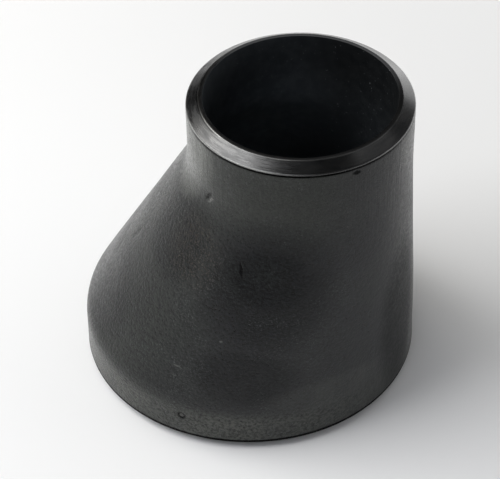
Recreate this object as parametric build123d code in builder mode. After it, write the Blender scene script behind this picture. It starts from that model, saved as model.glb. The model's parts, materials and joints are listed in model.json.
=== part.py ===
"""Eccentric butt-weld pipe reducer, 89 mm to 57 mm outside diameter. All sizes in millimetres.

Frame: the origin is the centre of the large end's face, on which the part stands. +Z runs up to the
small end. +X points to the flat side, where the wall runs straight from end to end, so the small
end's axis lies at +X and all the taper is on the -X side.
"""
from build123d import *
from math import atan, radians, tan
import os

# Ends and length
overall_length = 89.0
large_outside_radius = 89.0 / 2
small_outside_radius = 57.0 / 2
large_wall = 4.5
small_wall = 4.2

# Taper: each corner is where the straight cone would meet an end's cylinder, and each ease is the
# height over which that corner is rounded
knuckle_corner = 13.5
knuckle_ease = 5.0
neck_corner = 69.0
neck_ease = 7.0

# Weld preparation on both ends
bevel_angle = 32.5
root_face = 1.0

# Circles that the loft of each rounded corner passes through
sections_per_corner = 7


def eased_ramp(distance, ease):
    """Nothing before a corner, the distance past it afterwards, and a parabola in between."""
    into_ease = min(max(distance + ease / 2, 0), ease)
    return into_ease**2 / (2 * ease) + max(distance - ease / 2, 0)


def taper_radius(height, large_radius, small_radius, corners):
    """Radius of the eccentric cone at a height, between its lower and upper corner."""
    lower, upper = corners
    slope = (large_radius - small_radius) / (upper - lower)
    past_knuckle = eased_ramp(height - lower, knuckle_ease)
    past_neck = eased_ramp(height - upper, neck_ease)
    return large_radius - slope * (past_knuckle - past_neck)


def evenly(start, end, count):
    """Heights spaced evenly from start to end, both included."""
    return [start + (end - start) * step / (count - 1) for step in range(count)]


def eccentric_plug(large_radius, small_radius, axis_offset, corners):
    """Cylinder, rounded knuckle, straight eccentric cone, rounded neck and offset cylinder."""
    lower, upper = corners
    knuckle = evenly(lower - knuckle_ease / 2, lower + knuckle_ease / 2, sections_per_corner)
    neck = evenly(upper - neck_ease / 2, upper + neck_ease / 2, sections_per_corner)
    cone = [knuckle[-1], neck[0]]
    with BuildPart() as plug:
        with BuildSketch():
            Circle(large_radius)
        extrude(amount=knuckle[0])
        for heights in (knuckle, cone, neck):
            for height in heights:
                radius = taper_radius(height, large_radius, small_radius, corners)
                shift = axis_offset * (large_radius - radius) / (large_radius - small_radius)
                with BuildSketch(Plane.XY.offset(height)):
                    with Locations((shift, 0)):
                        Circle(radius)
            loft()
        with BuildSketch(Plane.XY.offset(neck[-1])):
            with Locations((axis_offset, 0)):
                Circle(small_radius)
        extrude(amount=overall_length - neck[-1])
    return plug.part


# The flat side keeps one X from end to end, so the axes lie apart by the difference of the radii
small_axis = large_outside_radius - small_outside_radius
outside = eccentric_plug(
    large_outside_radius, small_outside_radius, small_axis, (knuckle_corner, neck_corner)
)

# The bore's corners sit a little lower than the outside ones, which keeps the wall even on the cone:
# by the full drop on the sloped side and none on the flat side, so by half of it in the middle
cone_angle = atan(2 * small_axis / (neck_corner - knuckle_corner))
corner_drop = tan(cone_angle / 2) / 2
bore_corners = (knuckle_corner - large_wall * corner_drop, neck_corner - small_wall * corner_drop)
bore = eccentric_plug(
    large_outside_radius - large_wall, small_outside_radius - small_wall, small_axis, bore_corners
)

with BuildPart() as reducer_body:
    add(outside)
    add(bore, mode=Mode.SUBTRACT)
    for height, wall in ((0, large_wall), (overall_length, small_wall)):
        rim = reducer_body.faces().filter_by_position(Axis.Z, height, height)[0]
        outer_edge = rim.edges().sort_by(SortBy.LENGTH)[-1]
        bevel_width = wall - root_face
        bevel_height = bevel_width * tan(radians(bevel_angle))
        chamfer(outer_edge, length=bevel_width, length2=bevel_height, reference=rim)

os.makedirs("parts", exist_ok=True)
reducer_body.part.label = "reducer_body"
export_step(reducer_body.part, "parts/reducer_body.step")
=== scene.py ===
import json
from math import atan, cos, hypot, pi, radians, sin, tan
from types import SimpleNamespace

import bpy
import numpy as np
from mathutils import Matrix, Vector, noise


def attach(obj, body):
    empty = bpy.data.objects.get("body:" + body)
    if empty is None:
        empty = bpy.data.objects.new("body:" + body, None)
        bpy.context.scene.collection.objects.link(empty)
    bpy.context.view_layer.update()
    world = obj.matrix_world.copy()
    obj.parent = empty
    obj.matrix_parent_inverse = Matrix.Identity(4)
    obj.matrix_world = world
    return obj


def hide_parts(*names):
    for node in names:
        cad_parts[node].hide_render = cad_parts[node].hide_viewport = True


# Eccentric butt-weld pipe reducer with a thin black coat, standing on its large end. +Z runs up to the
# small end, and +X points to the flat side, where the wall runs straight from end to end.

# ------------------------------------------------------------------ frame and sizes, in metres
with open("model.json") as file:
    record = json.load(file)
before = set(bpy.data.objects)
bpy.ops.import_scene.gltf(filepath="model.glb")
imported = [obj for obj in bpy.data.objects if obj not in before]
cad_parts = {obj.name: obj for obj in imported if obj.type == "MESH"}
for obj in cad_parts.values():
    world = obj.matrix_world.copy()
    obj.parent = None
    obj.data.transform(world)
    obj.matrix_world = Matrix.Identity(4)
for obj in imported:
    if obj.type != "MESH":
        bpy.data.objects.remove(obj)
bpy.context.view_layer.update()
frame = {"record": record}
MM = 0.001

mounts = {mount["name"]: mount for mount in frame["record"]["mounts"]}


def mount_radius(name):
    return mounts[name]["dims"]["r_mm"] * MM


LARGE_RADIUS = mount_radius("large_end_outside")
SMALL_RADIUS = mount_radius("small_end_outside")
LARGE_BORE = mount_radius("large_end_bore")
SMALL_BORE = mount_radius("small_end_bore")
SMALL_AXIS = mounts["small_end_outside"]["pos_m"][0]
TOP = mounts["small_end_face"]["pos_m"][2]

# The taper's corners and the heights over which they are rounded, and the weld bevels
KNUCKLE_CORNER, KNUCKLE_EASE = 13.5 * MM, 5.0 * MM
NECK_CORNER, NECK_EASE = 69.0 * MM, 7.0 * MM
BEVEL_ANGLE, ROOT_FACE = radians(32.5), 1.0 * MM
LARGE_EDGE_HEIGHT = (LARGE_RADIUS - LARGE_BORE - ROOT_FACE) * tan(BEVEL_ANGLE)
SMALL_EDGE_HEIGHT = TOP - (SMALL_RADIUS - SMALL_BORE - ROOT_FACE) * tan(BEVEL_ANGLE)

# ------------------------------------------------------------------ camera
CAMERA_AIM = Vector((0.25, 0.2, 33.5)) * MM
CAMERA_AZIMUTH, CAMERA_ELEVATION, CAMERA_ROLL = radians(33.4), radians(41.8), radians(-0.94)
CAMERA_DISTANCE = 0.5846
CAMERA_LENS_MM = 158.0


def direction(azimuth, elevation):
    """Unit vector towards an azimuth, counted from -Y towards +X, and an elevation."""
    return Vector((sin(azimuth) * cos(elevation), -cos(azimuth) * cos(elevation), sin(elevation)))


def make_camera():
    camera = bpy.data.objects.new("camera", bpy.data.cameras.new("camera"))
    bpy.context.scene.collection.objects.link(camera)
    back = direction(CAMERA_AZIMUTH, CAMERA_ELEVATION)
    camera.location = CAMERA_AIM + CAMERA_DISTANCE * back
    camera.rotation_euler = back.to_track_quat("Z", "Y").to_euler()
    camera.rotation_euler.rotate_axis("Z", CAMERA_ROLL)
    camera.data.lens = CAMERA_LENS_MM
    camera.data.sensor_width = 36
    bpy.context.scene.camera = camera


make_camera()

# ------------------------------------------------------------------ wall section
COLUMNS = 400
ROW_SPACING = 0.85 * MM
BORE_SPACING = 1.5 * MM
LAND_SPACING = 0.3 * MM
BEVEL_SPACING = 0.19 * MM
OUTER_EDGE_CUT = 0.24 * MM
INNER_EDGE_CUT = 0.16 * MM
MOUTH_EDGE_CUT = 0.09 * MM
EDGE_STEPS = 4
LIP_BAND = 1.3 * MM
LIP_SPACING = 0.13 * MM
REGIONS = ["outside", "bevel", "bore"]

# How far the bore's corners sit below the outside ones, as a share of the wall, which keeps the wall
# even on the cone
CONE_ANGLE = atan(2 * SMALL_AXIS / (NECK_CORNER - KNUCKLE_CORNER))
BORE_DROP_SHARE = tan(CONE_ANGLE / 2) / 2


def eased_ramp(distance, ease):
    """Nothing before a corner, the distance past it afterwards, and a parabola in between."""
    into_ease = min(max(distance + ease / 2, 0), ease)
    return into_ease**2 / (2 * ease) + max(distance - ease / 2, 0)


def taper(height, large, small, drop):
    """Radius and axis X of the taper's circle at a height. drop lowers the corners, as on the bore."""
    lower, upper = KNUCKLE_CORNER - drop, NECK_CORNER - drop
    slope = (large - small) / (upper - lower)
    ramp = eased_ramp(height - lower, KNUCKLE_EASE) - eased_ramp(height - upper, NECK_EASE)
    radius = large - slope * ramp
    return radius, SMALL_AXIS * (large - radius) / (large - small)


def steps(start, end, spacing):
    """Values from start to end, both included, about spacing apart."""
    count = max(1, round(abs(end - start) / spacing))
    return [start + (end - start) * i / count for i in range(count + 1)]


def between(start, end, start_cut, end_cut, spacing):
    """Points along the line between two (height, radius) corners, without the cut at each end."""
    length = hypot(end[0] - start[0], end[1] - start[1])
    shares = [at / length for at in steps(start_cut, length - end_cut, spacing)]
    return [tuple(a + (b - a) * share for a, b in zip(start, end)) for share in shares]


def rounded(before, corner, after, cut):
    """Points strictly inside the curve that cuts off a (height, radius) corner."""
    ends = []
    for other in (before, after):
        length = hypot(other[0] - corner[0], other[1] - corner[1])
        ends.append([c + (o - c) * cut / length for c, o in zip(corner, other)])
    points = []
    for step in range(1, EDGE_STEPS):
        t = step / EDGE_STEPS
        weights = ((1 - t) ** 2, 2 * t * (1 - t), t**2)
        points.append(tuple(
            weights[0] * ends[0][i] + weights[1] * corner[i] + weights[2] * ends[1][i] for i in (0, 1)
        ))
    return points


def wall_rows():
    """Rows of (height, radius, axis X, region) once round the wall, from the lower rim up."""
    low_inner, low_land = (0.0, LARGE_BORE), (0.0, LARGE_BORE + ROOT_FACE)
    low_edge = (LARGE_EDGE_HEIGHT, LARGE_RADIUS)
    high_edge = (SMALL_EDGE_HEIGHT, SMALL_RADIUS)
    high_land, high_inner = (TOP, SMALL_BORE + ROOT_FACE), (TOP, SMALL_BORE)
    above_low, below_high = (KNUCKLE_CORNER, LARGE_RADIUS), (NECK_CORNER, SMALL_RADIUS)
    bore_low, bore_high = (KNUCKLE_CORNER, LARGE_BORE), (NECK_CORNER, SMALL_BORE)
    inner, outer, mouth = INNER_EDGE_CUT, OUTER_EDGE_CUT, MOUTH_EDGE_CUT
    rows = []

    def add(points, axis, region):
        rows.extend((height, radius, axis, region) for height, radius in points)

    add(rounded(bore_low, low_inner, low_land, mouth), 0.0, "bore")
    add(between(low_inner, low_land, mouth, inner, LAND_SPACING), 0.0, "bevel")
    add(rounded(low_inner, low_land, low_edge, inner), 0.0, "bevel")
    add(between(low_land, low_edge, inner, outer, BEVEL_SPACING), 0.0, "bevel")
    add(rounded(low_land, low_edge, above_low, outer), 0.0, "bevel")
    start, end = LARGE_EDGE_HEIGHT + outer, SMALL_EDGE_HEIGHT - outer
    heights = steps(start, start + LIP_BAND, LIP_SPACING)
    heights += steps(start + LIP_BAND, end - LIP_BAND, ROW_SPACING)[1:]
    heights += steps(end - LIP_BAND, end, LIP_SPACING)[1:]
    for height in heights:
        radius, axis = taper(height, LARGE_RADIUS, SMALL_RADIUS, 0.0)
        rows.append((height, radius, axis, "outside"))
    add(rounded(below_high, high_edge, high_land, outer), SMALL_AXIS, "bevel")
    add(between(high_edge, high_land, outer, inner, BEVEL_SPACING), SMALL_AXIS, "bevel")
    add(rounded(high_edge, high_land, high_inner, inner), SMALL_AXIS, "bevel")
    add(between(high_land, high_inner, inner, mouth, LAND_SPACING), SMALL_AXIS, "bevel")
    add(rounded(high_land, high_inner, bore_high, mouth), SMALL_AXIS, "bore")
    bore_drop = (LARGE_RADIUS - LARGE_BORE) * BORE_DROP_SHARE
    for height in steps(TOP - mouth, mouth, BORE_SPACING):
        radius, axis = taper(height, LARGE_BORE, SMALL_BORE, bore_drop)
        rows.append((height, radius, axis, "bore"))
    return rows


# ------------------------------------------------------------------ surface irregularities
WAVE_DEPTH, WAVE_LENGTH = 0.10 * MM, 19 * MM
KNUCKLE_DEPTH, KNUCKLE_LENGTH = 0.12 * MM, 11 * MM
LIP_DEPTH, LIP_START, LIP_END = 0.10 * MM, 0.10 * MM, 1.2 * MM
TOOL_DEPTH, TOOL_PITCH = 0.0015 * MM, 0.45 * MM

# Shallow dents: height mm, angle degrees, half length mm up the wall, half width mm across it, depth
# mm, lean in degrees
DENTS = [
    (71.4, -110.0, 1.8, 1.0, 0.10, 30),
    (85.0, -29.9, 1.2, 1.3, 0.10, 0),
    (55.9, -78.9, 3.0, 1.2, 0.08, -9),
    (42.3, -143.5, 3.2, 1.3, 0.10, 22),
    (32.4, -150.8, 1.5, 1.5, 0.10, 0),
    (8.8, -80.9, 1.2, 1.3, 0.12, 0),
    (47.0, 150.0, 2.5, 1.2, 0.09, -15),
    (20.0, 60.0, 1.4, 1.4, 0.12, 20),
]


def smooth_step(value, low, high):
    share = np.clip((value - low) / (high - low), 0, 1)
    return share * share * (3 - 2 * share)


def soft_noise(points, length):
    """Smooth noise from 0 to 1 at each point, with the given wavelength."""
    values = [noise.noise(Vector(point) / length) for point in points.reshape(-1, 3)]
    return np.clip(0.5 + 0.7 * np.array(values).reshape(points.shape[:-1]), 0, 1)


def dents_depth(heights, angles, radii):
    """Depth of all the dents, as soft-edged ellipses."""
    depth = np.zeros((len(heights), len(angles)))
    for height, angle, half_length, half_width, deep, lean in DENTS:
        up = (heights[:, None] - height * MM) / MM
        turn = (angles[None, :] - radians(angle) + pi) % (2 * pi) - pi
        across = turn * radii[:, None] / MM
        along = up * cos(radians(lean)) + across * sin(radians(lean))
        aside = across * cos(radians(lean)) - up * sin(radians(lean))
        depth += deep * MM * np.exp(-((along / half_length) ** 2) - (aside / half_width) ** 2)
    return depth


def outside_depth(points, heights, angles, radii):
    """How far the pressed and painted outside lies below its nominal surface."""
    depth = WAVE_DEPTH * soft_noise(points, WAVE_LENGTH)
    near_knuckle = np.exp(-(((heights - KNUCKLE_CORNER) / (6 * MM)) ** 2))
    depth += KNUCKLE_DEPTH * near_knuckle[:, None] * soft_noise(points, KNUCKLE_LENGTH)
    to_edge = np.minimum(heights - LARGE_EDGE_HEIGHT, SMALL_EDGE_HEIGHT - heights) - OUTER_EDGE_CUT
    depth *= smooth_step(to_edge, 0, 4 * MM)[:, None]
    sunk = smooth_step(to_edge, 0, LIP_START) * (1 - smooth_step(to_edge, LIP_START, LIP_END))
    depth += LIP_DEPTH * sunk[:, None]
    return depth + dents_depth(heights, angles, radii)


# ------------------------------------------------------------------ body mesh
def wall_normals(heights, radii):
    """Outward direction (height, radius) of each row, from its neighbours round the closed wall."""
    along_height = np.roll(heights, -1) - np.roll(heights, 1)
    along_radius = np.roll(radii, -1) - np.roll(radii, 1)
    length = np.hypot(along_height, along_radius)
    return -along_radius / length, along_height / length


def store(mesh, name, kind, values):
    attribute = mesh.attributes.new(name, kind, "POINT")
    field = "vector" if kind == "FLOAT_VECTOR" else "value"
    attribute.data.foreach_set(field, np.ascontiguousarray(values, dtype=np.float32).ravel())


def wall_depth(nominal, heights, radii, angles, regions, travel):
    """How far each point lies below its nominal place, by irregularities outside and tool lines on
    the bevels. travel is the distance along the wall to each row."""
    outside = np.array([region == "outside" for region in regions])
    bevel = np.array([region == "bevel" for region in regions])
    depth = np.zeros((len(heights), len(angles)))
    depth[outside] = outside_depth(nominal[outside], heights[outside], angles, radii[outside])
    groove = 0.5 + 0.5 * np.cos(2 * pi * travel / TOOL_PITCH + 1.7 * np.sin(travel / (0.9 * MM)))
    depth[bevel] += TOOL_DEPTH * groove[bevel][:, None]
    return depth


def wall_faces(regions):
    """Quads between each row and the next round the closed wall, and the region of each quad."""
    faces, face_regions = [], []
    for row, region in enumerate(regions):
        above = (row + 1) % len(regions)
        if regions[above] == "bevel":
            region = "bevel"
        for column in range(COLUMNS):
            beside = (column + 1) % COLUMNS
            faces.append((
                row * COLUMNS + column,
                row * COLUMNS + beside,
                above * COLUMNS + beside,
                above * COLUMNS + column,
            ))
            face_regions.append(REGIONS.index(region))
    return faces, face_regions


def store_measures(mesh, heights, radii, angles, travel):
    """Store what the materials read: cosine and sine of the angle with the distance along the wall in
    mm, and the distances in mm from the bevels' outer and inner edges."""
    count = len(heights)
    lathe = np.stack([
        np.repeat(np.cos(angles)[None, :], count, 0),
        np.repeat(np.sin(angles)[None, :], count, 0),
        np.repeat(travel[:, None] / MM, COLUMNS, 1),
    ], -1)
    store(mesh, "lathe", "FLOAT_VECTOR", lathe)
    outer_corners = ((LARGE_EDGE_HEIGHT, LARGE_RADIUS), (SMALL_EDGE_HEIGHT, SMALL_RADIUS))
    inner_corners = ((0.0, LARGE_BORE + ROOT_FACE), (TOP, SMALL_BORE + ROOT_FACE))
    for name, corners in (("outer_edge", outer_corners), ("inner_edge", inner_corners)):
        gaps = [np.hypot(heights - height, radii - radius) for height, radius in corners]
        store(mesh, name, "FLOAT", np.repeat(np.minimum(*gaps)[:, None] / MM, COLUMNS, 1))


def build_body():
    rows = wall_rows()
    heights, radii, axes = (np.array([row[i] for row in rows]) for i in range(3))
    regions = [row[3] for row in rows]
    angles = np.linspace(0, 2 * pi, COLUMNS, endpoint=False)
    travel = np.concatenate([[0], np.cumsum(np.hypot(np.diff(heights), np.diff(radii)))])
    points = np.stack([
        axes[:, None] + radii[:, None] * np.cos(angles),
        radii[:, None] * np.sin(angles),
        np.repeat(heights[:, None], COLUMNS, 1),
    ], -1)
    depth = wall_depth(points, heights, radii, angles, regions, travel)
    up, out = wall_normals(heights, radii)
    points[..., 0] -= depth * out[:, None] * np.cos(angles)
    points[..., 1] -= depth * out[:, None] * np.sin(angles)
    points[..., 2] -= depth * up[:, None]

    faces, face_regions = wall_faces(regions)
    mesh = bpy.data.meshes.new("painted_body")
    mesh.from_pydata(points.reshape(-1, 3).tolist(), [], faces)
    mesh.polygons.foreach_set("use_smooth", [True] * len(faces))
    mesh.polygons.foreach_set("material_index", face_regions)
    store_measures(mesh, heights, radii, angles, travel)
    mesh.update()
    body = bpy.data.objects.new("painted_body", mesh)
    bpy.context.scene.collection.objects.link(body)
    return body


# ------------------------------------------------------------------ material nodes
# A patch fades out between these sums of squared shares of its half sizes. The last is its half size
# through the wall
PATCH_FULL, PATCH_GONE = 0.3, 1.9
PATCH_DEPTH_MM = 12

# Noise that makes the edges of small marks ragged
RAGGED_SCALE, RAGGED_SHIFT = 900.0, 0.7 * MM


class Surface:
    """A material's node tree, with short calls for the nodes that the materials share. They name it s."""

    def __init__(self, name):
        self.material = bpy.data.materials.new(name)
        self.material.use_nodes = True
        self.tree = self.material.node_tree
        self.shader = self.tree.nodes["Principled BSDF"]

    def connect(self, value, socket):
        if isinstance(value, bpy.types.NodeSocket):
            self.tree.links.new(value, socket)
        elif isinstance(value, tuple) and len(value) == 3 and socket.type == "RGBA":
            socket.default_value = (*value, 1)
        else:
            socket.default_value = value

    def node(self, kind, inputs, **settings):
        made = self.tree.nodes.new(kind)
        for name, value in settings.items():
            setattr(made, name, value)
        for socket, value in inputs.items():
            self.connect(value, made.inputs[socket])
        return made

    def place(self):
        return self.node("ShaderNodeTexCoord", {}).outputs["Object"]

    def attribute(self, name, output="Fac"):
        return self.node("ShaderNodeAttribute", {}, attribute_name=name).outputs[output]

    def height(self, vector):
        return self.node("ShaderNodeSeparateXYZ", {0: vector}).outputs[2]

    def vector(self, operation, a, b):
        return self.node("ShaderNodeVectorMath", {0: a, 1: b}, operation=operation).outputs[0]

    def dot(self, vector, line):
        made = self.node("ShaderNodeVectorMath", {0: vector, 1: line}, operation="DOT_PRODUCT")
        return made.outputs["Value"]

    def noise(self, vector, scale, detail=2.0, roughness=0.5):
        inputs = {"Vector": vector, "Scale": scale, "Detail": detail, "Roughness": roughness}
        return self.node("ShaderNodeTexNoise", inputs).outputs["Fac"]

    def ramp(self, value, low, high, to_low=0.0, to_high=1.0):
        """Smooth step from to_low, at the low limit, to to_high. The limits may fall instead of rise."""
        inputs = {"Value": value, "From Min": low, "From Max": high, "To Min": to_low, "To Max": to_high}
        return self.node("ShaderNodeMapRange", inputs, interpolation_type="SMOOTHSTEP").outputs["Result"]

    def math(self, operation, a, b):
        return self.node("ShaderNodeMath", {0: a, 1: b}, operation=operation).outputs[0]

    def plus(self, a, b):
        return self.math("ADD", a, b)

    def minus(self, a, b):
        return self.math("SUBTRACT", a, b)

    def times(self, a, b):
        return self.math("MULTIPLY", a, b)

    def larger(self, a, b):
        return self.math("MAXIMUM", a, b)

    def blend(self, factor, a, b):
        """Colour a where the factor is 0 and colour b where it is 1."""
        return self.node("ShaderNodeMix", {0: factor, 6: a, 7: b}, data_type="RGBA").outputs[2]

    def shade(self, colour, factor):
        """The colour made brighter or darker by a factor."""
        inputs = {0: colour, "Scale": factor}
        return self.node("ShaderNodeVectorMath", inputs, operation="SCALE").outputs[0]

    def side(self, angle):
        """1 on the side of the body at an angle in degrees, down to -1 on the opposite side."""
        towards = (cos(radians(angle)), sin(radians(angle)), 0.0)
        return self.dot(self.attribute("lathe", "Vector"), towards)

    def patch(self, place, height, angle, half_length, half_width, lean=0.0):
        """1 inside a soft-edged ellipse on the outside wall, sizes in mm, and 0 well outside it."""
        radius, axis = taper(height * MM, LARGE_RADIUS, SMALL_RADIUS, 0.0)
        turn = radians(angle)
        outward = Vector((cos(turn), sin(turn), 0.0))
        centre = Vector((axis, 0.0, height * MM)) + radius * outward
        across = Vector((-sin(turn), cos(turn), 0.0))
        up = Vector((0.0, 0.0, 1.0))
        along = up * cos(radians(lean)) + across * sin(radians(lean))
        aside = across * cos(radians(lean)) - up * sin(radians(lean))
        offset = self.vector("SUBTRACT", place, centre)
        spread = 0.0
        for line, half in ((along, half_length), (aside, half_width), (outward, PATCH_DEPTH_MM)):
            share = self.dot(offset, line / (half * MM))
            spread = self.plus(spread, self.times(share, share))
        return self.ramp(spread, PATCH_FULL, PATCH_GONE, 1, 0)

    def patches(self, place, marks):
        """The strongest of several patches at each point."""
        strongest = 0.0
        for *shape, strength in marks:
            strongest = self.larger(strongest, self.times(self.patch(place, *shape), strength))
        return strongest

    def ragged(self, place):
        """The same place, shifted a little by fine noise, so that marks laid on it have ragged edges."""
        inputs = {"Vector": place, "Scale": RAGGED_SCALE, "Detail": 2.0}
        shift = self.node("ShaderNodeTexNoise", inputs).outputs["Color"]
        shift = self.vector("SUBTRACT", shift, (0.5, 0.5, 0.5))
        return self.vector("ADD", self.vector("MULTIPLY", shift, (RAGGED_SHIFT,) * 3), place)

    def bump(self, height, distance, normal=None):
        inputs = {"Height": height, "Distance": distance, "Strength": 1.0}
        if normal is not None:
            inputs["Normal"] = normal
        return self.node("ShaderNodeBump", inputs).outputs["Normal"]

    def finish(self, **inputs):
        for socket, value in inputs.items():
            self.connect(value, self.shader.inputs[socket.replace("_", " ")])
        return self.material


# ------------------------------------------------------------------ marks on the body
# Every list and patch here gives height mm, angle degrees, half length mm up the wall and half width
# mm across it. The lists add lean in degrees and strength.

# Painted shade: areas of the coat made darker in colour and in gloss
PAINTED_SHADE_PATCHES = [
    (51, -64, 18, 15, 20, 1.0),
    (24, -62, 8, 12, 0, 0.9),
    (40, -134, 24, 14, 0, 0.62),
    (57, -121, 14, 11, 0, 1.1),
    (27, -140, 15, 15, 0, 1.25),
    (57, -151, 6, 5, 0, 0.9),
    (26, 6, 23, 9, 0, 1.0),
]

# A painted shade spot on the front of the taper, a rusty area, and a matt one low on the flat side
PAINTED_SHADE_SPOT = (54, -65, 10, 12)
RUSTY_PATCH = (55, -105, 9, 8)
MATT_PATCH = (25, 6, 22, 9)

# Painted highlights: pale areas on the neck under the bevel and on the knuckle
PAINTED_HIGHLIGHT_PATCHES = [
    (82, -128, 9, 9, 0, 0.9),
    (71, -134, 6, 7, 0, 0.55),
    (15.5, -28, 4.5, 16, 0, 0.17),
    (83, 9, 6, 4, 0, 0.35),
]

# Black smudges on the upper bevel, the third of them painted shade on its front, and one along its inner
# edge
SMUDGES_AND_SHADE = [
    (87.5, -150, 4, 4.0, 0, 1.0),
    (87.5, -176, 4, 4.5, 0, 0.8),
    (88.0, -51, 3, 9, 0, 0.8),
]
INNER_SMUDGE = (88.8, -152, 1.2, 12)

# Nicks, scratches and pits
DARK_MARKS = [
    (71.4, -110.0, 1.9, 0.50, 38, 1.0),
    (80.5, -110.6, 3.5, 0.13, 1, 0.6),
    (79.0, -114.0, 3.0, 0.13, -1, 0.5),
    (85.1, -29.9, 0.6, 1.0, 10, 1.0),
    (55.9, -78.9, 2.3, 0.50, -9, 0.9),
    (42.3, -143.5, 2.7, 0.65, 22, 1.0),
    (32.4, -150.8, 0.9, 0.9, 0, 1.0),
    (8.8, -80.9, 1.1, 1.1, 0, 1.0),
    (47.0, 150.0, 1.6, 0.4, -15, 0.9),
    (20.0, 60.0, 0.8, 0.7, 20, 0.9),
]

# Chips and scuffs, and painted highlights beside the nick and a scratch on the neck
PALE_MARKS_AND_HIGHLIGHTS = [
    (70.4, -108.2, 1.3, 0.34, 38, 1.0),
    (76.0, -111.8, 2.6, 0.12, 2, 0.4),
    (8.9, -80.9, 0.48, 0.55, 0, 1.0),
    (23.7, -87.6, 0.17, 1.1, 4, 0.7),
    (20.8, -87.2, 0.15, 0.7, -3, 0.5),
    (34.5, -75.5, 0.30, 0.34, 0, 0.7),
    (26.0, 120.0, 0.2, 0.9, 5, 0.6),
]

# ------------------------------------------------------------------ black coat
# Colours here and below are linear RGB
BLUE_BLACK = (0.0036, 0.0041, 0.0051)
# Paler olive of the painted light on the lit side
LIT_SIDE_OLIVE = (0.0070, 0.0088, 0.0064)
# Paler grey of the painted reflection band round the large end
BAND_REFLECTION_GREY = (0.0300, 0.0317, 0.0272)
# Colour of the painted shade patches
PAINTED_SHADE_BLACK = (0.0012, 0.0014, 0.0020)
BLOTCH_GREY = (0.0130, 0.0150, 0.0134)
DASH_GREY = (0.026, 0.026, 0.025)
# Pale grey of the painted highlights
PAINTED_HIGHLIGHT_GREY = (0.110, 0.114, 0.102)
SPECK_GREY = (0.076, 0.080, 0.084)
RUST = (0.060, 0.046, 0.032)
GOUGE_BLACK = (0.0006, 0.0006, 0.0006)
# Pale grey of the chips and of the painted highlights beside nicks
CHIP_AND_HIGHLIGHT_GREY = (0.12, 0.12, 0.115)
# Black of the painted shade line under the bevels
SHADE_LINE_BLACK = (0.0004, 0.0004, 0.0004)

# The painted reflection band at the large end fades out between these heights, and the neck's look starts
# and is full at these
BAND_FULL, BAND_GONE = 9 * MM, 14 * MM
NECK_START, NECK_FULL = 58 * MM, 74 * MM


def coat_textures(s):
    """The noises and areas that the coat's colour, gloss and relief share."""
    place = s.place()
    lathe = s.attribute("lathe", "Vector")
    blotch = s.noise(place, 75, detail=4, roughness=0.6)
    ragged = s.ragged(place)
    return SimpleNamespace(
        place=place,
        grain=s.noise(place, 1250, detail=3, roughness=0.65),
        pores=s.noise(place, 2600, detail=1),
        peel=s.noise(place, 600),
        blotch=blotch,
        tint=s.noise(place, 24),
        streaks=s.noise(s.vector("MULTIPLY", lathe, (34, 34, 0.07)), 1.0, detail=3, roughness=0.6),
        dashes=s.noise(s.vector("MULTIPLY", lathe, (75, 75, 0.55)), 1.0, roughness=0.6),
        on_neck=s.ramp(s.height(place), NECK_START, NECK_FULL),
        gritty=s.ramp(s.side(-95), -0.1, 0.85, 0.17, 0.85),
        # Painted shade patches, broken up by the blotches
        painted_shade=s.times(s.patches(place, PAINTED_SHADE_PATCHES), s.ramp(blotch, 0.3, 0.6, 0.6, 1.0)),
        # Painted shade spot, broken up by the blotches
        shade_spot=s.times(s.patch(place, *PAINTED_SHADE_SPOT), s.ramp(blotch, 0.3, 0.6, 0.6, 1.0)),
        dark=s.patches(ragged, DARK_MARKS),
        pale=s.patches(ragged, PALE_MARKS_AND_HIGHLIGHTS),
    )


def bevel_shade_line(s, coat):
    """Painted shade: a thin dark line round each end, just below the bevel's outer edge."""
    edge = s.attribute("outer_edge")
    line = s.times(s.ramp(edge, 0.14, 0.26), s.ramp(edge, 1.10, 0.75))
    return s.times(line, s.ramp(coat.blotch, 0.3, 0.5, 0.7, 1.0))


def coat_base(s, coat):
    """Painted light and shade: paler olive on the lit side of the taper and the neck, and bluer round to
    the shaded flat side.
    """
    lit_side = s.plus(s.ramp(s.side(-160), -0.1, 0.9), s.ramp(coat.tint, 0.35, 0.65, -0.15, 0.15))
    lit_side = s.larger(lit_side, s.times(coat.on_neck, s.ramp(s.side(-100), 0.1, 0.8)))
    colour = s.blend(lit_side, BLUE_BLACK, LIT_SIDE_OLIVE)
    # Painted reflection: a paler band round the large end, strongest on the lit side
    reflection_band = s.ramp(s.height(coat.place), BAND_GONE, BAND_FULL)
    reflection_band = s.times(reflection_band, s.ramp(s.side(-120), -0.6, 0.9, 0.45, 1.0))
    colour = s.blend(reflection_band, colour, BAND_REFLECTION_GREY)
    # Painted shade patches darken the coat
    colour = s.blend(s.times(coat.painted_shade, 0.8), colour, PAINTED_SHADE_BLACK)
    colour = s.blend(s.ramp(coat.blotch, 0.40, 0.70, 0.0, 0.35), colour, BLOTCH_GREY)
    return s.blend(s.ramp(coat.dashes, 0.60, 0.75, 0.0, 0.20), colour, DASH_GREY)


def coat_mottle(s, coat):
    """Brightness factor of the grain, more even on the neck, at the back and far round the taper."""
    mottle = s.ramp(coat.grain, 0.32, 0.68, 0.1, 2.4)
    even = s.larger(s.times(coat.on_neck, 0.55), s.ramp(s.side(100), 0.0, 0.7, 0.0, 0.65))
    even = s.larger(even, s.ramp(s.side(-170), 0.55, 1.0, 0.0, 0.7))
    return s.plus(mottle, s.times(s.minus(0.95, mottle), even))


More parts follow.
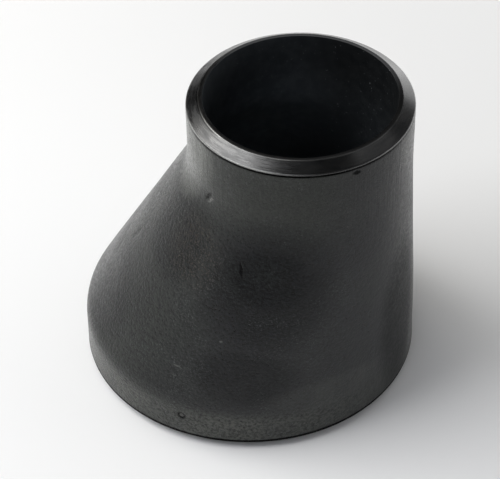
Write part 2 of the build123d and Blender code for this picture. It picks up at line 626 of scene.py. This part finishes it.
def coat_colour(s, coat, line):
    """The coat's colour with its mottling, painted highlights, specks, rust, marks with painted
    highlights beside some, and the painted shade line under the bevel.
    """
    colour = s.shade(coat_base(s, coat), coat_mottle(s, coat))
    # Painted highlights, streaked up the wall
    painted_highlight = s.times(s.patches(coat.place, PAINTED_HIGHLIGHT_PATCHES), s.ramp(coat.streaks, 0.35, 0.65, 0.6, 1.0))
    colour = s.blend(painted_highlight, colour, PAINTED_HIGHLIGHT_GREY)
    specks = s.times(s.ramp(coat.pores, 0.61, 0.70), s.ramp(coat.blotch, 0.44, 0.60, 0.1, 0.7))
    specks = s.times(s.times(specks, coat.gritty), s.ramp(coat.shade_spot, 0.0, 0.8, 1.0, 0.3))
    colour = s.blend(specks, colour, SPECK_GREY)
    rusty = s.times(s.patch(coat.place, *RUSTY_PATCH), s.ramp(coat.pores, 0.55, 0.65, 0.0, 0.5))
    colour = s.blend(rusty, colour, RUST)
    colour = s.blend(s.times(coat.dark, 0.9), colour, GOUGE_BLACK)
    colour = s.blend(s.times(coat.pale, 0.7), colour, CHIP_AND_HIGHLIGHT_GREY)
    return s.blend(line, colour, SHADE_LINE_BLACK)


def coat_roughness(s, coat):
    """Glossier on the neck and the taper, and duller low on the flat side."""
    roughness = s.minus(s.ramp(coat.blotch, 0.3, 0.7, 0.32, 0.40), s.times(coat.on_neck, 0.08))
    roughness = s.minus(roughness, s.ramp(s.side(-160), 0.3, 1.0, 0.0, 0.07))
    roughness = s.plus(roughness, s.ramp(coat.grain, 0.35, 0.65, -0.07, 0.10))
    return s.plus(roughness, s.times(s.patch(coat.place, *MATT_PATCH), 0.18))


def coat_relief(s, coat):
    """Streaks round the neck, orange peel, short dashes, grain and the marks."""
    normal = s.bump(s.times(coat.streaks, s.plus(coat.on_neck, 0.1)), 0.08 * MM)
    normal = s.bump(coat.peel, 0.08 * MM, normal)
    normal = s.bump(coat.dashes, 0.015 * MM, normal)
    grit = s.times(coat.gritty, s.plus(s.minus(1.0, coat.on_neck), 0.4))
    grit = s.times(grit, s.ramp(s.side(-160), 0.5, 1.0, 1.0, 0.72))
    normal = s.bump(s.times(coat.grain, grit), 0.20 * MM, normal)
    return s.bump(s.minus(coat.pale, coat.dark), 0.06 * MM, normal)


def black_coat():
    """Thin black paint over pressed steel: mottled, fine-grained, smoother and streaked on the neck."""
    s = Surface("black_coat")
    coat = coat_textures(s)
    # Painted shade line under the bevels
    line = bevel_shade_line(s, coat)
    # Metallic over a near-black colour has no gloss of its own, so it deadens marks, and it darkens the
    # painted shade patches, the painted shade spot and the painted shade line under the bevel
    dead = s.larger(s.times(coat.dark, 0.95), line)
    dead = s.larger(dead, s.times(coat.painted_shade, 0.42))
    dead = s.larger(dead, s.times(coat.shade_spot, 0.62))
    return s.finish(
        Base_Color=coat_colour(s, coat, line), Metallic=dead, Roughness=coat_roughness(s, coat),
        Normal=coat_relief(s, coat), IOR=1.40, Sheen_Weight=0.06, Sheen_Roughness=0.3,
    )


# ------------------------------------------------------------------ machined bevels
BEVEL_BLACK = (0.0030, 0.0034, 0.0042)
BEVEL_GREY = (0.012, 0.012, 0.012)
# Pale grey of the rubbed edges and their painted highlights
WORN_AND_LIT_GREY = (0.26, 0.26, 0.25)
RIM_BLACK = (0.0012, 0.0012, 0.0014)
RIM_GREY = (0.050, 0.052, 0.054)

# The upper root face is told from the bevel by its height
LAND_START, LAND_FULL = TOP - 0.07 * MM, TOP - 0.02 * MM


def machined_bevel():
    """Turned weld bevel under the same thin coat, streaked, with wear and painted highlights on its
    edges, painted shade in front, and smoother round the flat side.
    """
    s = Surface("machined_bevel")
    place = s.place()
    lathe = s.attribute("lathe", "Vector")
    inner, outer = s.attribute("inner_edge"), s.attribute("outer_edge")
    lines = s.noise(s.vector("MULTIPLY", lathe, (4.0, 4.0, 1.5)), 1.0, detail=3, roughness=0.6)
    hairs = s.noise(s.vector("MULTIPLY", lathe, (7.0, 7.0, 4.5)), 1.0)
    fine = s.noise(place, 2600)
    patch = s.noise(place, 110, detail=3)
    turned = s.ramp(s.side(-130), 0.05, 0.85, 0.12, 1.0)

    # Both edges rubbed pale, and paler on the lit side as painted highlights, with a dark line beside the
    # inner one
    colour = s.blend(s.ramp(lines, 0.35, 0.65), BEVEL_BLACK, BEVEL_GREY)
    worn_and_lit = s.larger(s.ramp(outer, 0.30, 0.12), s.ramp(inner, 0.30, 0.10))
    worn_and_lit = s.times(worn_and_lit, s.times(turned, s.ramp(patch, 0.35, 0.60, 0.35, 1.0)))
    colour = s.blend(worn_and_lit, colour, WORN_AND_LIT_GREY)
    beside = s.times(s.ramp(inner, 0.34, 0.42), s.ramp(inner, 0.62, 0.50))
    beside = s.times(beside, s.times(turned, s.ramp(patch, 0.40, 0.60, 0.1, 0.8)))

    # The root face is painted black in front as shade and grey at the back as a reflection, and smudges
    # reach over it
    land = s.ramp(s.height(place), LAND_START, LAND_FULL)
    land_light_and_shade = s.blend(s.ramp(s.side(110), 0.1, 0.8), RIM_BLACK, RIM_GREY)
    colour = s.blend(s.times(land, 0.8), colour, land_light_and_shade)
    dead_land = s.times(land, s.ramp(s.side(110), 0.1, 0.7, 0.6, 0.0))
    smudge = s.times(s.patches(place, SMUDGES_AND_SHADE), s.ramp(patch, 0.35, 0.55, 0.3, 1.0))
    inside = s.times(s.patch(place, *INNER_SMUDGE), s.ramp(inner, 0.8, 0.3))
    smudge = s.larger(smudge, inside)
    colour = s.blend(s.times(inside, 0.9), colour, RIM_BLACK)
    dead = s.larger(s.larger(s.times(smudge, 0.7), beside), dead_land)

    roughness = s.times(s.ramp(lines, 0.36, 0.62, 0.15, -0.04), turned)
    roughness = s.plus(roughness, s.times(s.ramp(hairs, 0.35, 0.60, 0.11, 0.0), turned))
    roughness = s.plus(roughness, s.ramp(patch, 0.3, 0.7, 0.19, 0.25))
    normal = s.bump(s.times(lines, turned), 0.008 * MM)
    normal = s.bump(s.times(hairs, turned), 0.003 * MM, normal)
    normal = s.bump(fine, 0.003 * MM, normal)
    return s.finish(Base_Color=colour, Metallic=dead, Roughness=roughness, Normal=normal, IOR=1.7)


# ------------------------------------------------------------------ bore and floor
BORE_DARK = (0.0062, 0.0072, 0.0082)
BORE_LIGHT = (0.0088, 0.0100, 0.0110)
BORE_SPECK = (0.10, 0.105, 0.11)

# The bore is painted lighter with depth, least above the first height and most below the second
BORE_FILL_LEAST, BORE_FILL_MOST = 84 * MM, 52 * MM

# The floor's own glow starts and is full at these distances from the origin, in metres
GLOW_START, GLOW_FULL, GLOW_STRENGTH = 0.12, 0.92, 0.80


def bore_coat():
    """Dull black inside, painted lighter with depth and round the side that the light reaches least, with
    faint scale and a few tiny pale specks.
    """
    s = Surface("bore_coat")
    place = s.place()
    scale = s.noise(place, 420, detail=4, roughness=0.6)
    specks = s.ramp(s.noise(place, 1900, detail=1), 0.70, 0.78)
    # Painted fill light: lighter with depth and round the side that the light reaches least
    painted_fill = s.ramp(s.height(place), BORE_FILL_LEAST, BORE_FILL_MOST, 1.0, 3.7)
    painted_fill = s.times(painted_fill, s.ramp(s.side(-158), -0.4, 0.75, 0.70, 4.2))
    colour = s.shade(s.blend(s.ramp(scale, 0.35, 0.7), BORE_DARK, BORE_LIGHT), painted_fill)
    colour = s.blend(s.times(specks, s.ramp(scale, 0.45, 0.55)), colour, BORE_SPECK)
    roughness = s.ramp(scale, 0.3, 0.7, 0.6, 0.72)
    normal = s.bump(scale, 0.025 * MM)
    return s.finish(Base_Color=colour, Roughness=roughness, Normal=normal, IOR=1.25)


def pale_floor():
    """Matt white studio floor, kept pale by a glow of its own past the reach of the lights."""
    s = Surface("pale_floor")
    place = s.place()
    colour = s.blend(s.noise(place, 3), (0.86, 0.86, 0.86), (0.88, 0.88, 0.88))
    from_body = s.node("ShaderNodeVectorMath", {0: place}, operation="LENGTH").outputs["Value"]
    return s.finish(
        Base_Color=colour, Roughness=0.8, IOR=1.2, Emission_Color=(1.0, 1.0, 1.0),
        Emission_Strength=s.ramp(from_body, GLOW_START, GLOW_FULL, 0.0, GLOW_STRENGTH),
    )


# ------------------------------------------------------------------ body
body = build_body()
for make_material in (black_coat, machined_bevel, bore_coat):
    body.data.materials.append(make_material())
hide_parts("reducer_body")
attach(body, "root")

# ------------------------------------------------------------------ floor and light
FLOOR_SIZE = 6.0
bpy.ops.mesh.primitive_plane_add(size=FLOOR_SIZE)
floor = bpy.context.object
floor.name = "floor"
floor.data.materials.append(pale_floor())

LIGHT_DISTANCE = 0.75


def soft_light(name, azimuth, elevation, width, height, radiance, colour):
    """Rectangular soft light. Angles are in degrees, the azimuth counted from the camera's side
    towards its right, and width and height are the angles that it fills."""
    light = bpy.data.lights.new(name, "AREA")
    light.shape = "RECTANGLE"
    light.size = 2 * LIGHT_DISTANCE * tan(radians(width / 2))
    light.size_y = 2 * LIGHT_DISTANCE * tan(radians(height / 2))
    light.energy = radiance * pi * light.size * light.size_y
    light.color = colour
    lamp = bpy.data.objects.new(name, light)
    bpy.context.scene.collection.objects.link(lamp)
    towards = direction(CAMERA_AZIMUTH + radians(azimuth), radians(elevation))
    lamp.location = LIGHT_DISTANCE * towards
    lamp.rotation_euler = towards.to_track_quat("Z", "Y").to_euler()
    lamp.visible_camera = False


NEUTRAL, WARM, COOL = (1.0, 1.0, 1.0), (1.0, 0.92, 0.70), (0.90, 0.93, 1.0)
soft_light("key_left", 270, 54, 50, 26, 6.2, NEUTRAL)
soft_light("key_back_left", 228, 50, 40, 24, 0.7, WARM)
soft_light("inner_edge_strip", 216, 56, 12, 12, 1.5, NEUTRAL)
soft_light("top", 240, 80, 30, 16, 2.2, NEUTRAL)
soft_light("high_back", 150, 65, 60, 30, 0.5, NEUTRAL)
soft_light("low_right", 95, 12, 60, 22, 2.4, NEUTRAL)
soft_light("back_right", 146, 10, 44, 20, 1.6, NEUTRAL)
soft_light("front_left", 325, 44, 60, 30, 1.2, COOL)

# The surround is pale to the camera and nearly black to reflections on the object
SURROUND_LIGHT, SURROUND_SEEN = 0.05, 0.9


def make_surround():
    world = bpy.data.worlds.new("studio")
    bpy.context.scene.world = world
    world.use_nodes = True
    nodes, links = world.node_tree.nodes, world.node_tree.links
    backdrop = nodes["Background"]
    seen = nodes.new("ShaderNodeLightPath").outputs["Is Camera Ray"]
    brightness = nodes.new("ShaderNodeMapRange")
    links.new(seen, brightness.inputs["Value"])
    brightness.inputs["To Min"].default_value = SURROUND_LIGHT
    brightness.inputs["To Max"].default_value = SURROUND_SEEN
    links.new(brightness.outputs["Result"], backdrop.inputs["Strength"])
    backdrop.inputs["Color"].default_value = (1, 1, 1, 1)


make_surround()

# Keeps a white floor white and the blacks as deep as they are
bpy.context.scene.view_settings.view_transform = "Standard"
